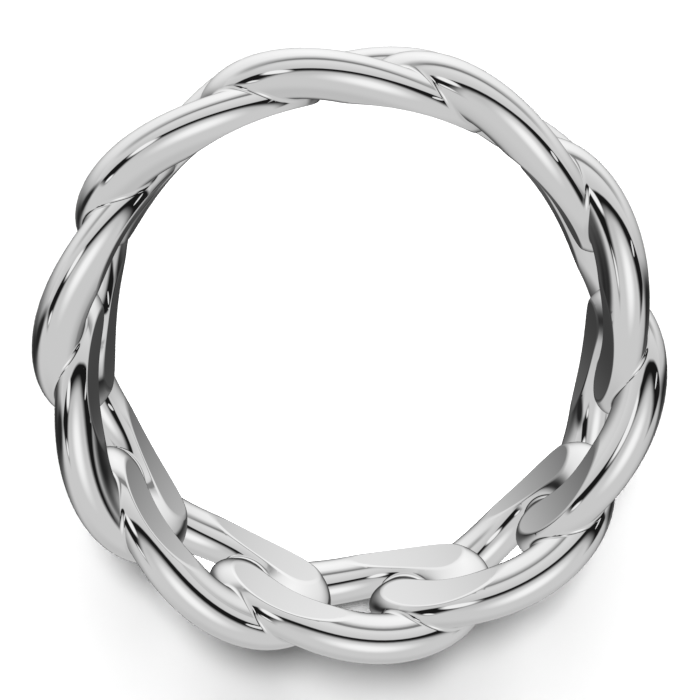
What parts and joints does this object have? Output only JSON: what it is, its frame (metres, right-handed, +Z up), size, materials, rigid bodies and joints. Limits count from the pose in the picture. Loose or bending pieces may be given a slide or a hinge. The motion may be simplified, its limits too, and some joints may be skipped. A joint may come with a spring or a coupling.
{
  "type": "chain link ring",
  "caption": "Finger ring: a curb chain of oval links cast as one rigid, mirror-polished white metal band, bored to a smooth round finger hole.",
  "frame": {"origin": "on the ring's axis, in the plane of the surface that it lies on", "axes": "+Z up along the ring's axis, +Y through the middle of the link at the top of the picture"},
  "size_m": [0.0214, 0.0208, 0.0081],
  "materials": {
    "polished_white_metal": "polished"
  },
  "bodies": {
    "root": {"link_band": "polished_white_metal"}
  },
  "joints": []
}
